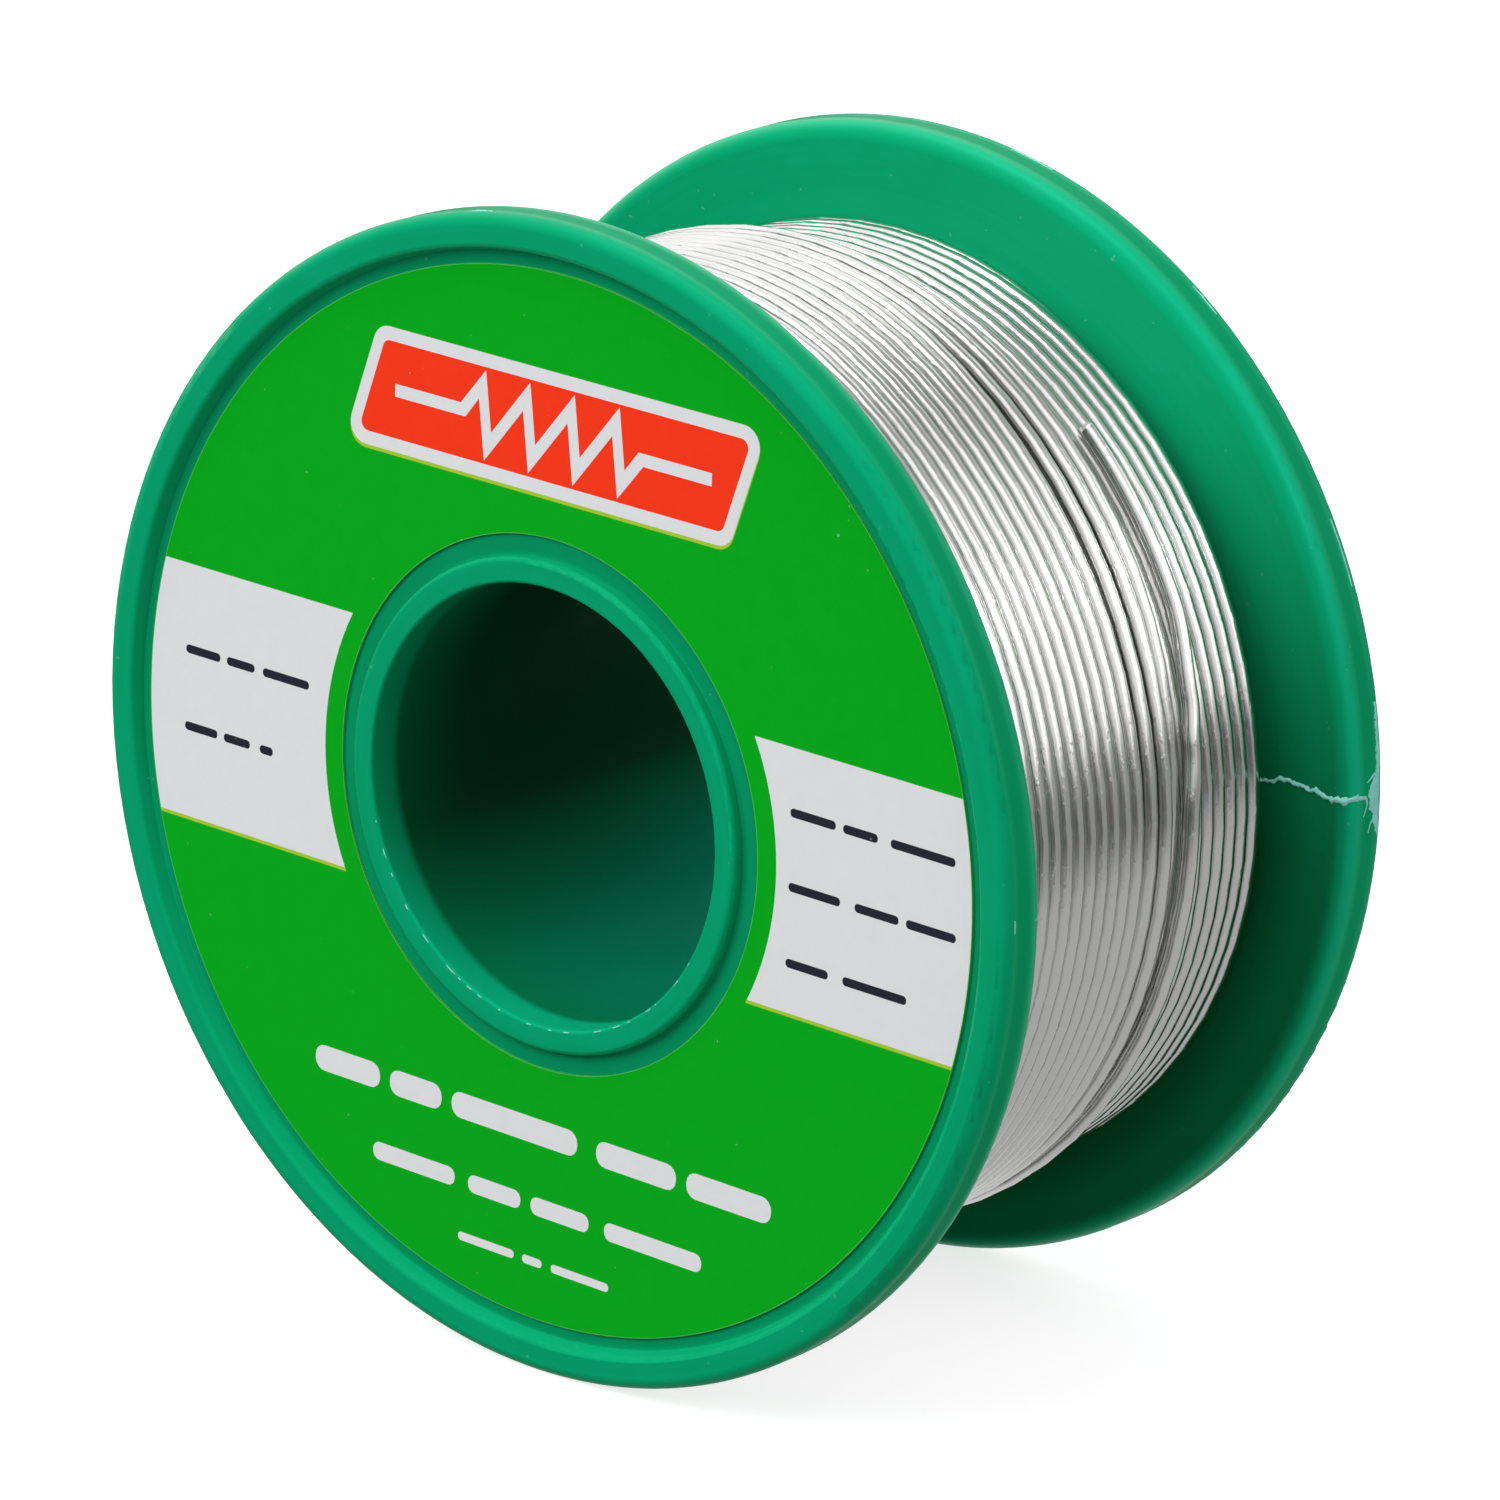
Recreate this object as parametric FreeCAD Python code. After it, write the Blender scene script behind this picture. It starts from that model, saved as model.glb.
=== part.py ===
import FreeCAD, Part
import math
import os

# Solder wire spool: a one-piece moulded spool with a paper label on its front
# web, wound with four full layers and one part layer of flux-cored tin wire.
# Millimetres. The spool's axis is Y, the label faces -Y, +Z is up, and the
# origin is the middle of the bore. Angles go round the axis from +X towards +Z.

Vector = FreeCAD.Vector
ORIGIN = Vector(0, 0, 0)
SPOOL_AXIS = Vector(0, 1, 0)

# Driving dimensions of the moulding.
RIM_RADIUS = 26.0
WIDTH = 26.0
FLANGE = 2.55             # each flange, from rim face to winding face
BORE_RADIUS = 9.9
HUB_RADIUS = 11.05        # outside of the tube around the bore
BARREL_RADIUS = 19.0      # what the wire is wound on
BARREL_WALL = 1.2
RECESS = 0.63             # how far each web lies behind its rim face
RECESS_RADIUS = 24.55     # where the rim's step begins, at the rim face
STEP_SLOPE = 0.25         # how far the step leans in over its depth
HUB_SET_BACK = 0.1        # the hub tube's ends, behind the rim faces
RIB_COUNT = 4
RIB_THICKNESS = 1.2
RIB_SET_BACK = 4.0        # the ribs' ends, behind the rear rim face

# Rounding of the moulding's edges.
RIM_OUTER_ROUND = 0.55    # the rim's edge at its own face
RIM_INNER_ROUND = 0.85    # the rim's edge on the winding side
STEP_ROUND = 0.25
HUB_ROUND = 0.25
MOUTH_ROUND = 0.15
BARREL_ROUND = 0.3        # where a flange meets the barrel, inside the pockets

# The label.
LABEL_INNER = 12.0
LABEL_OUTER = 23.75
LABEL_THICKNESS = 0.12

# The wire and how it is wound.
WIRE_DIAMETER = 0.8
CORE_DIAMETER = 0.28      # the rosin inside it, an eighth of its section
TURNS_ACROSS = 26         # turns that fit between the flanges
LAYER_STEP = 0.7          # from one layer's centre line to the next
FULL_LAYERS = 4
TOP_LAYER_TURNS = 17      # whole turns of the fifth layer, from the front
END_TURN_LIFT = 0.17      # how far the last turn stands out of its groove
END_TURN_BACK = 1.18      # its distance behind the layer's last turn, at the bend
END_TURN_LEAN = 0.6       # degrees that the last turn's plane leans
END_TURN_REARMOST = -60.0  # degrees, where the lean takes it furthest to the rear
END_TURN_START = -285.0   # degrees, where it leaves the turn in front of it
END_BEND = -10.0          # degrees, where the free end bends away
END_TIP = 47.0            # degrees, where the wire is cut
END_DRIFT = 3.3           # degrees that the free end leans to the rear
BEND_GAP = 0.15           # degrees between the last turn and the free end

FRONT = -WIDTH / 2
REAR = WIDTH / 2
WEB_FRONT = FRONT + RECESS
WEB_REAR = REAR - RECESS
WIND_FRONT = FRONT + FLANGE
WIND_REAR = REAR - FLANGE
PITCH = (WIND_REAR - WIND_FRONT) / TURNS_ACROSS
WIRE_RADIUS = WIRE_DIAMETER / 2
POCKET_RADIUS = BARREL_RADIUS - BARREL_WALL


def ring_edges(shape, radius, y):
    """The whole-circle edges of this radius at this place on the axis."""
    found = []
    for edge in shape.Edges:
        curve = edge.Curve
        if not isinstance(curve, Part.Circle):
            continue
        near = abs(curve.Radius - radius) < 0.01 and abs(curve.Center.y - y) < 0.01
        if near:
            found.append(edge)
    return found


def turned(points):
    """A closed outline of (radius, y) points, turned about the axis."""
    corners = [Vector(radius, y, 0) for radius, y in points]
    outline = Part.makePolygon(corners + corners[:1])
    return Part.Face(outline).revolve(ORIGIN, SPOOL_AXIS, 360)


def rounded(shape, rounds):
    """The shape with its ring edges rounded, each by its own radius."""
    for radius, y, size in rounds:
        shape = shape.makeFillet(size, ring_edges(shape, radius, y))
    return shape


def layer_radius(layer):
    """The centre line's radius in this layer, counted from 1."""
    return BARREL_RADIUS + LAYER_STEP / 2 + (layer - 1) * LAYER_STEP


def groove_y(turn):
    """The place along the axis of a turn in an odd layer, counted from 0."""
    return WIND_FRONT + PITCH * (turn + 0.5)


def save(shape, node):
    """Checks one node's shape and writes it."""
    assert shape.isValid(), node
    shape.exportStep(os.path.join("parts", node + ".step"))
    print(f"{node}: {len(shape.Solids)} solid, {shape.Volume:.1f} mm3")


def spool_shell():
    """Hub tube, front web, barrel, both flanges and the open rear pocket."""
    step_foot = RECESS_RADIUS - STEP_SLOPE
    shell = turned([
        (BORE_RADIUS, FRONT + HUB_SET_BACK),
        (HUB_RADIUS, FRONT + HUB_SET_BACK),
        (HUB_RADIUS, WEB_FRONT),
        (step_foot, WEB_FRONT),
        (RECESS_RADIUS, FRONT),
        (RIM_RADIUS, FRONT),
        (RIM_RADIUS, WIND_FRONT),
        (BARREL_RADIUS, WIND_FRONT),
        (BARREL_RADIUS, WIND_REAR),
        (RIM_RADIUS, WIND_REAR),
        (RIM_RADIUS, REAR),
        (RECESS_RADIUS, REAR),
        (step_foot, WEB_REAR),
        (POCKET_RADIUS, WEB_REAR),
        (POCKET_RADIUS, WIND_FRONT),
        (HUB_RADIUS, WIND_FRONT),
        (HUB_RADIUS, REAR - HUB_SET_BACK),
        (BORE_RADIUS, REAR - HUB_SET_BACK),
    ])
    rounds = [
        (RIM_RADIUS, WIND_FRONT, RIM_INNER_ROUND),
        (RIM_RADIUS, WIND_REAR, RIM_INNER_ROUND),
        (POCKET_RADIUS, WEB_REAR, BARREL_ROUND),
        (POCKET_RADIUS, WIND_FRONT, BARREL_ROUND),
        (HUB_RADIUS, WIND_FRONT, BARREL_ROUND),
    ]
    for side in (-1, 1):
        face = side * WIDTH / 2
        hub_end = face - side * HUB_SET_BACK
        rounds += [
            (RIM_RADIUS, face, RIM_OUTER_ROUND),
            (RECESS_RADIUS, face, STEP_ROUND),
            (HUB_RADIUS, hub_end, HUB_ROUND),
            (BORE_RADIUS, hub_end, MOUTH_ROUND),
        ]
    return rounded(shell, rounds)


def rib(angle):
    """One rib between the hub tube and the barrel, inside the rear pocket."""
    overlap = 0.4
    length = POCKET_RADIUS - HUB_RADIUS + 2 * overlap
    depth = REAR - RIB_SET_BACK - WIND_FRONT + overlap
    start = Vector(HUB_RADIUS - overlap, WIND_FRONT - overlap, -RIB_THICKNESS / 2)
    plate = Part.makeBox(length, depth, RIB_THICKNESS, start)
    plate.rotate(ORIGIN, SPOOL_AXIS, -angle)
    return plate


def spool_body():
    """The one-piece moulding."""
    quarter = 360 / RIB_COUNT
    ribs = [rib(quarter * (i + 0.5)) for i in range(RIB_COUNT)]
    return spool_shell().fuse(ribs).removeSplitter().Solids[0]


def front_label():
    """A flat paper ring stuck to the front web."""
    top = WEB_FRONT - LABEL_THICKNESS
    return turned([
        (LABEL_INNER, top),
        (LABEL_OUTER, top),
        (LABEL_OUTER, WEB_FRONT),
        (LABEL_INNER, WEB_FRONT),
    ])


def buried_layer(layer):
    """A whole layer that lies under others, as a closed ring."""
    middle = layer_radius(layer)
    inner = middle - LAYER_STEP / 2
    outer = middle + LAYER_STEP / 2
    return turned([
        (inner, WIND_FRONT),
        (outer, WIND_FRONT),
        (outer, WIND_REAR),
        (inner, WIND_REAR),
    ])


def bead(radius, y):
    """The outer half of one turn's section, as an arc from front to rear."""
    return Part.Arc(
        Vector(radius, y - PITCH / 2, 0),
        Vector(radius + WIRE_RADIUS, y, 0),
        Vector(radius, y + PITCH / 2, 0),
    ).toShape()


def beaded_layer(layer, first_y, turns, buried_to=None):
    """A layer whose outside shows its turns. Up to buried_to it is plain."""
    radius = layer_radius(layer)
    inner = radius - LAYER_STEP / 2
    start = Vector(radius, first_y - PITCH / 2, 0)
    end = Vector(radius, first_y + PITCH * (turns - 0.5), 0)
    if buried_to is None:
        edges = [Part.makeLine(Vector(inner, start.y, 0), start)]
        foot = Vector(inner, start.y, 0)
    else:
        covered = radius + LAYER_STEP / 2
        shoulder = math.sqrt(WIRE_RADIUS ** 2 - (LAYER_STEP / 2) ** 2)
        foot = Vector(inner, WIND_FRONT, 0)
        corner = Vector(covered, WIND_FRONT, 0)
        edge = Vector(covered, buried_to + shoulder, 0)
        slant = WIRE_RADIUS * math.sqrt(0.5)
        bulge = Vector(radius + slant, buried_to + slant, 0)
        edges = [Part.makeLine(foot, corner), Part.makeLine(corner, edge)]
        edges += [Part.Arc(edge, bulge, start).toShape()]
    edges += [bead(radius, first_y + PITCH * i) for i in range(turns)]
    edges += [Part.makeLine(end, Vector(inner, end.y, 0))]
    edges += [Part.makeLine(Vector(inner, end.y, 0), foot)]
    return Part.Face(Part.Wire(edges)).revolve(ORIGIN, SPOOL_AXIS, 360)


def top_layer():
    """The fifth layer: its turns start at the front flange."""
    return beaded_layer(FULL_LAYERS + 1, groove_y(0), TOP_LAYER_TURNS)


def exposed_layer():
    """The fourth layer: its turns show behind the fifth layer's last turn."""
    covered_to = WIND_FRONT + PITCH * TOP_LAYER_TURNS
    shown = TURNS_ACROSS - TOP_LAYER_TURNS - 1
    return beaded_layer(FULL_LAYERS, covered_to + PITCH, shown, covered_to)


def around(degrees):
    """The direction from the axis at this angle."""
    angle = math.radians(degrees)
    return Vector(math.cos(angle), 0, math.sin(angle))


def end_turn_radius():
    return layer_radius(FULL_LAYERS + 1) + END_TURN_LIFT


def end_turn_middle():
    """The place on the axis where the last turn's leaning plane crosses it."""
    bend_y = groove_y(TOP_LAYER_TURNS - 1) + END_TURN_BACK
    lean = math.sin(math.radians(END_TURN_LEAN))
    to_bend = math.cos(math.radians(END_BEND - END_TURN_REARMOST))
    return Vector(0, bend_y - end_turn_radius() * lean * to_bend, 0)


def wire_arc(start, end, diameter):
    """A length of the last turn between two angles, as a bent rod."""
    middle = end_turn_middle()
    section = Part.Face(Part.Wire(Part.makeCircle(
        diameter / 2, middle + around(0) * end_turn_radius(), around(90))))
    rod = section.revolve(middle, SPOOL_AXIS, start - end)
    rod.rotate(middle, SPOOL_AXIS, -start)
    rod.rotate(middle, around(END_TURN_REARMOST + 90), END_TURN_LEAN)
    return rod


def bend_point():
    """The outermost point of the wire at the bend, which the free end turns about."""
    lean = FreeCAD.Rotation(around(END_TURN_REARMOST + 90), END_TURN_LEAN)
    outside = around(END_BEND) * (end_turn_radius() + WIRE_RADIUS)
    return end_turn_middle() + lean.multVec(outside)


def leaned(rod):
    """A rod from the bend to the tip, leaned to the rear about the bend."""
    rod.rotate(bend_point(), around(END_BEND + 180), END_DRIFT)
    return rod


def last_turn():
    """The turn that runs on its own behind the fifth layer, up to the bend."""
    return wire_arc(END_TURN_START, END_BEND, WIRE_DIAMETER)


def wire_free_end():
    """The cut end of the wire, bored for its rosin core."""
    start = END_BEND + BEND_GAP
    rod = wire_arc(start, END_TIP, WIRE_DIAMETER)
    bore = wire_arc(start, END_TIP, CORE_DIAMETER)
    return leaned(rod.cut(bore))


def flux_core():
    """The rosin inside the free end."""
    return leaned(wire_arc(END_BEND + BEND_GAP, END_TIP, CORE_DIAMETER))


def build():
    os.makedirs("parts", exist_ok=True)
    save(spool_body(), "spool_body")
    save(front_label(), "front_label")
    for layer in range(1, FULL_LAYERS):
        save(buried_layer(layer), f"winding_layer_{layer}")
    save(exposed_layer(), f"winding_layer_{FULL_LAYERS}")
    save(top_layer(), f"winding_layer_{FULL_LAYERS + 1}")
    save(last_turn(), "last_turn")
    save(wire_free_end(), "wire_free_end")
    save(flux_core(), "flux_core")
    point = bend_point()
    print(f"bend at {point.x:.4f}, {point.y:.4f}, {point.z:.4f} mm, pitch {PITCH:.4f} mm")


build()
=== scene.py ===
import math
import random

import bpy
from mathutils import Matrix, Vector
from mathutils.geometry import delaunay_2d_cdt


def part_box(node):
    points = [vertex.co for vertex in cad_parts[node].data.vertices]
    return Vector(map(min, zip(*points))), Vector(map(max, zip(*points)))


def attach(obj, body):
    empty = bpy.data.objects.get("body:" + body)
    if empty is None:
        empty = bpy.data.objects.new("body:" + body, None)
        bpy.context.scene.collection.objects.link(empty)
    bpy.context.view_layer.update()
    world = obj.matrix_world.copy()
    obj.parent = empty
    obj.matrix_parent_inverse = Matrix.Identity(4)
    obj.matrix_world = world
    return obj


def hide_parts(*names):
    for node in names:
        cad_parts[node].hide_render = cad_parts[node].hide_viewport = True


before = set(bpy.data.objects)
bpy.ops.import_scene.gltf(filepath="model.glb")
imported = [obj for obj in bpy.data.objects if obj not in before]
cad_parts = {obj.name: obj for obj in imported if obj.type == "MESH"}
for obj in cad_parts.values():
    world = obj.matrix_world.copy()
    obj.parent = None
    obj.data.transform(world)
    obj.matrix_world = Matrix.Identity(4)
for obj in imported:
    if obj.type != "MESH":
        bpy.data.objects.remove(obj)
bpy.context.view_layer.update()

MM = 0.001

# Sizes and places, from the parts in model.glb and given numbers. The spool's axis is Y, the label
# faces -Y, and angles go round the axis from +X towards +Z, in degrees.
body_low, body_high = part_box("spool_body")
label_low, label_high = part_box("front_label")
layer_1_low, layer_1_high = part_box("winding_layer_1")
_, layer_2_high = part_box("winding_layer_2")
RIM = body_high.x
FRONT, REAR = body_low.y, body_high.y
WEB = label_high.y
LABEL_FACE = label_low.y
LABEL_OUTER = label_high.x
LABEL_INNER = 12.0 * MM
BORE = 9.9 * MM           # the bore's radius
WIND_FRONT, WIND_REAR = layer_1_low.y, layer_1_high.y
LAYER_STEP = layer_2_high.x - layer_1_high.x
BARREL = layer_1_high.x - LAYER_STEP
WIRE = 0.8 * MM
TURNS_ACROSS = 26
PITCH = (WIND_REAR - WIND_FRONT) / TURNS_ACROSS


# ---------------------------------------------------------------- small tools

def polar(degrees, radius, y):
    """The place at this angle and radius round the spool's axis."""
    angle = math.radians(degrees)
    return Vector((radius * math.cos(angle), y, radius * math.sin(angle)))


def smooth(t):
    """Rises gently from nothing at 0 to one at 1."""
    t = min(1.0, max(0.0, t))
    return t * t * (3 - 2 * t)


def mix(a, b, t):
    """The value this share of the way from a to b."""
    return a + (b - a) * t


def mesh_object(name, points, faces, body):
    """A smooth piece with this mesh, riding on a body."""
    mesh = bpy.data.meshes.new(name)
    mesh.from_pydata([tuple(p) for p in points], [], faces)
    mesh.validate()
    mesh.shade_smooth()
    piece = bpy.data.objects.new(name, mesh)
    bpy.context.scene.collection.objects.link(piece)
    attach(piece, body)
    return piece


# ---------------------------------------------------------------- materials

class Nodes:
    """Builds a node tree by small steps."""

    def __init__(self, tree):
        self.tree = tree

    def node(self, kind, inputs=(), **settings):
        made = self.tree.nodes.new(kind)
        for key, value in settings.items():
            setattr(made, key, value)
        for key, value in dict(inputs).items():
            self.feed(made.inputs[key], value)
        return made

    def feed(self, socket, value):
        """Links a socket to another, or gives it a plain value or colour."""
        if isinstance(value, bpy.types.NodeSocket):
            self.tree.links.new(value, socket)
        elif isinstance(value, tuple) and len(value) == 3 and socket.type == "RGBA":
            socket.default_value = (*value, 1)
        else:
            socket.default_value = value

    def parts(self, vector):
        made = self.node("ShaderNodeSeparateXYZ", {"Vector": vector})
        return tuple(made.outputs[axis] for axis in "XYZ")

    def maths(self, operation, a, b=0.0):
        made = self.node("ShaderNodeMath", operation=operation)
        self.feed(made.inputs[0], a)
        self.feed(made.inputs[1], b)
        return made.outputs[0]

    def span(self, factor, low, high, to_low=0.0, to_high=1.0, way="LINEAR"):
        made = self.node("ShaderNodeMapRange", {
            "Value": factor, "From Min": low, "From Max": high, "To Min": to_low, "To Max": to_high})
        made.interpolation_type = way
        return made.outputs["Result"]

    def within(self, factor, low, high, edge):
        """One between low and high, falling smoothly to nothing over the edge's width."""
        rise = self.span(factor, low - edge, low + edge, way="SMOOTHSTEP")
        fall = self.span(factor, high - edge, high + edge, 1.0, 0.0, way="SMOOTHSTEP")
        return self.maths("MULTIPLY", rise, fall)

    def mixed(self, factor, a, b, way="MIX"):
        made = self.node("ShaderNodeMix", data_type="RGBA", blend_type=way)
        for index, value in ((0, factor), (6, a), (7, b)):
            self.feed(made.inputs[index], value)
        return made.outputs[2]


class Shader(Nodes):
    """A material with one Principled surface, placed in millimetres of its piece."""

    def __init__(self, name):
        self.material = bpy.data.materials.new(name)
        self.material.use_nodes = True
        super().__init__(self.material.node_tree)
        self.surface = self.tree.nodes["Principled BSDF"]

    def set(self, **values):
        for key, value in values.items():
            self.feed(self.surface.inputs[key.replace("_", " ")], value)

    def place(self, scale=(1, 1, 1)):
        """The place in the piece, in millimetres times scale."""
        texture = self.node("ShaderNodeTexCoord")
        mapping = self.node("ShaderNodeMapping", {"Vector": texture.outputs["Object"]})
        mapping.inputs["Scale"].default_value = [s / MM for s in scale]
        return mapping.outputs["Vector"]

    def round_place(self, around=1.0, across=1.0, out=1.0):
        """The place as angle, distance along the axis and radius, each times a scale."""
        x, y, z = self.parts(self.place())
        radius = self.maths("SQRT", self.maths("ADD", self.maths("MULTIPLY", x, x),
                                               self.maths("MULTIPLY", z, z)))
        angle = self.maths("ARCTAN2", z, x)
        joined = self.node("ShaderNodeCombineXYZ", {
            "X": self.maths("MULTIPLY", angle, around), "Y": self.maths("MULTIPLY", y, across),
            "Z": self.maths("MULTIPLY", radius, out)})
        return joined.outputs["Vector"], angle, y, radius

    def noise(self, scale, detail=2.0, rough=0.5, at=None):
        made = self.node("ShaderNodeTexNoise", {"Scale": scale, "Detail": detail, "Roughness": rough})
        self.tree.links.new(at or self.place(), made.inputs["Vector"])
        return made.outputs["Fac"]

    def bumps(self, *layers):
        """Bump layers, each (height, strength, distance in metres)."""
        normal = None
        for height, strength, distance in layers:
            made = self.node("ShaderNodeBump", {
                "Height": height, "Strength": strength, "Distance": distance})
            if normal is not None:
                self.feed(made.inputs["Normal"], normal)
            normal = made.outputs["Normal"]
        self.feed(self.surface.inputs["Normal"], normal)


def green_plastic():
    """Satin moulded plastic: cloudy colour, turned marks, pale specks, painted shade beside the
    winding, on the rims' bands, in the recesses and in the bore, painted highlights on the rims'
    corners and painted light along the bore's bottom.
    """
    s = Shader("moulded_green")
    rim, rear, bore_radius = RIM / MM, REAR / MM, BORE / MM
    clouds = s.noise(0.22, 4, 0.6)
    base = s.mixed(clouds, (0.0018, 0.330, 0.140), (0.0030, 0.375, 0.175))
    specks = s.span(s.noise(3.1, 1, 0.4), 0.785, 0.80)
    base = s.mixed(s.maths("MULTIPLY", specks, 0.30), base, (0.20, 0.55, 0.42))
    rings_at, _, y, radius = s.round_place(around=0.9, across=0.4, out=2.2)
    _, _, z = s.parts(s.place())
    rings = s.noise(1.0, 4, 0.65, rings_at)
    base = s.mixed(s.span(rings, 0.35, 0.65, 0.0, 0.16), base, (0.0015, 0.240, 0.090))
    # Painted shade on the flanges' inner faces, most of all low down and beside the winding, where the
    # winding and front flange keep the light off.
    inner = s.within(y, WIND_FRONT / MM - 0.9, WIND_REAR / MM + 0.9, 0.3)
    inner = s.maths("MULTIPLY", inner, s.span(radius, rim - 0.95, rim - 0.1, 1.0, 0.12, "SMOOTHSTEP"))
    inner = s.maths("MULTIPLY", inner, s.span(radius, rim - 3.6, rim - 2.0, 1.0, 0.80))
    low_down = s.span(z, 16.0, -3.0, 0.10, 0.94)
    base = s.mixed(s.maths("MULTIPLY", inner, low_down), base, (0.0012, 0.082, 0.018))
    # Painted shade on the rims' outer bands, and a painted highlight on their rounded corners by the
    # winding.
    away = s.maths("ABSOLUTE", y)
    band = s.maths("MULTIPLY", s.within(away, rear - 1.55, rear - 0.75, 0.15),
                   s.span(radius, rim - 0.3, rim - 0.05))
    base = s.mixed(s.maths("MULTIPLY", band, 0.30), base, (0.0012, 0.180, 0.060))
    corner = s.maths("MULTIPLY", s.within(away, rear - 2.28, rear - 1.75, 0.15),
                     s.span(radius, rim - 0.7, rim - 0.3))
    base = s.mixed(s.maths("MULTIPLY", corner, 0.30), base, (0.010, 0.560, 0.290))
    # Painted shade in the recesses beside the label and deep in the bore, and painted light along the
    # bore's bottom.
    front = s.span(y, FRONT / MM + 1.2, FRONT / MM + 0.3)
    outer_step = s.within(radius, LABEL_OUTER / MM - 0.3, LABEL_OUTER / MM + 0.45, 0.08)
    inner_step = s.within(radius, bore_radius + 1.25, LABEL_INNER / MM + 0.3, 0.08)
    recess_shade = s.maths("MULTIPLY", s.maths("ADD", outer_step, inner_step), front)
    base = s.mixed(s.maths("MULTIPLY", recess_shade, 0.42), base, (0.0012, 0.130, 0.040))
    bore = s.span(radius, bore_radius + 0.16, bore_radius + 0.04)
    depth = s.span(y, FRONT / MM + 0.2, FRONT / MM + 6.0, 0.05, 0.92)
    depth = s.maths("MULTIPLY", depth, s.span(z, -bore_radius * 0.9, -bore_radius * 0.25, 0.0, 1.0))
    base = s.mixed(s.maths("MULTIPLY", bore, depth), base, (0.0014, 0.050, 0.022))
    bottom = s.maths("MULTIPLY", s.span(z, -bore_radius * 0.35, -bore_radius * 0.9),
                     s.span(y, FRONT / MM + 1.5, FRONT / MM + 17.0, 0.12, 0.50))
    base = s.mixed(s.maths("MULTIPLY", bore, bottom), base, (0.006, 0.600, 0.360))
    # Gloss: least on the bands, in the bore and low down, and most on the corners.
    sheen = s.maths("SUBTRACT", 0.16, s.maths("MULTIPLY", s.maths("MAXIMUM", band, bore), 0.13))
    sheen = s.maths("ADD", sheen, s.maths("MULTIPLY", corner, 0.16))
    sheen = s.maths("MULTIPLY", sheen, s.span(z, 4.0, -8.0, 1.0, 0.3))
    grain = s.noise(9.0, 3, 0.6)
    scuffs = s.noise(1.3, 5, 0.7, s.place((1.0, 0.25, 1.0)))
    s.set(Base_Color=base, Roughness=s.span(scuffs, 0.3, 0.7, 0.28, 0.40), IOR=1.46,
          Specular_IOR_Level=sheen, Specular_Tint=(0.05, 1.0, 0.80))
    s.bumps((clouds, 0.10, 0.15 * MM), (rings, 0.10, 0.03 * MM), (grain, 0.08, 0.010 * MM),
            (scuffs, 0.10, 0.02 * MM))
    return s.material


def torn_plastic():
    """Thin stretched flash of the same plastic, pale where it is worked."""
    s = Shader("torn_green")
    cloud = s.noise(2.6, 4, 0.7)
    s.set(Base_Color=s.mixed(cloud, (0.08, 0.52, 0.41), (0.40, 0.80, 0.72)),
          Roughness=s.span(cloud, 0.3, 0.7, 0.30, 0.50), Subsurface_Weight=0.25,
          Subsurface_Scale=0.0004)
    s.bumps((s.noise(11.0, 3, 0.6), 0.4, 0.02 * MM))
    return s.material


def tin():
    """Bright drawn tin: die lines along the wire, small dents, a little tarnish and painted shade in
    the grooves between turns.
    """
    s = Shader("drawn_tin")
    along, _, _, _ = s.round_place(around=1.6)
    lines = s.noise(13.0, 3, 0.65, along)
    grain = s.noise(26.0, 2, 0.5)
    dashes, _, _, _ = s.round_place(around=34.0, across=4.6, out=4.6)
    dents = s.span(s.noise(1.0, 2, 0.6, dashes), 0.57, 0.68)
    tarnish = s.noise(0.35, 4, 0.6, along)
    base = s.mixed(tarnish, (0.78, 0.772, 0.758), (0.87, 0.87, 0.865))
    # Painted shade on the flanks, which face along the spool, in the grooves between
    # neighbouring turns, most of all in the upper half.
    _, sideways, _ = s.parts(s.node("ShaderNodeNewGeometry").outputs["Normal"])
    groove_shade = s.span(s.maths("ABSOLUTE", sideways), 0.68, 0.95, 0.0, 0.62, "SMOOTHSTEP")
    _, _, z = s.parts(s.place())
    groove_shade = s.maths("MULTIPLY", groove_shade, s.span(z, -4.0, 6.0, 0.12, 1.0))
    base = s.mixed(groove_shade, base, (0.16, 0.16, 0.162))
    s.set(Base_Color=base, Metallic=1.0, Roughness=s.span(lines, 0.3, 0.7, 0.15, 0.25))
    s.bumps((lines, 0.12, 0.012 * MM), (grain, 0.14, 0.006 * MM), (dents, 0.34, 0.014 * MM))
    return s.material


def rosin():
    """Clear amber flux in the wire's cut end."""
    s = Shader("amber_rosin")
    cloud = s.noise(6.0, 3, 0.6)
    s.set(Base_Color=s.mixed(cloud, (0.42, 0.20, 0.035), (0.62, 0.36, 0.09)),
          Roughness=s.span(cloud, 0.3, 0.7, 0.12, 0.30), Subsurface_Weight=0.15)
    s.bumps((cloud, 0.3, 0.01 * MM))
    return s.material


def print_on_paper(name, colour, second, tint=(1, 1, 1), gloss=0.30):
    """One printed colour of the label: slight mottle and paper grain under a gloss."""
    s = Shader(name)
    mottle = s.noise(1.4, 5, 0.65)
    grain = s.noise(14.0, 3, 0.6)
    dust = s.span(s.noise(3.6, 1, 0.4), 0.79, 0.81)
    base = s.mixed(mottle, colour, second)
    s.set(Base_Color=s.mixed(s.maths("MULTIPLY", dust, 0.25), base, (0.75, 0.80, 0.75)),
          Roughness=s.span(mottle, 0.3, 0.7, 0.36, 0.46), Specular_IOR_Level=gloss,
          Specular_Tint=tint)
    s.bumps((grain, 0.15, 0.008 * MM), (s.noise(0.13, 3, 0.5), 0.12, 0.12 * MM))
    return s.material


def studio_floor():
    """Pale matt board with a little light of its own."""
    s = Shader("pale_floor")
    s.set(Base_Color=s.mixed(s.noise(0.004, 3, 0.5), (0.50, 0.50, 0.50), (0.53, 0.53, 0.53)),
          Roughness=0.9, Specular_IOR_Level=0.0,
          Emission_Color=(1.0, 1.0, 1.0), Emission_Strength=0.72)
    return s.material


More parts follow.
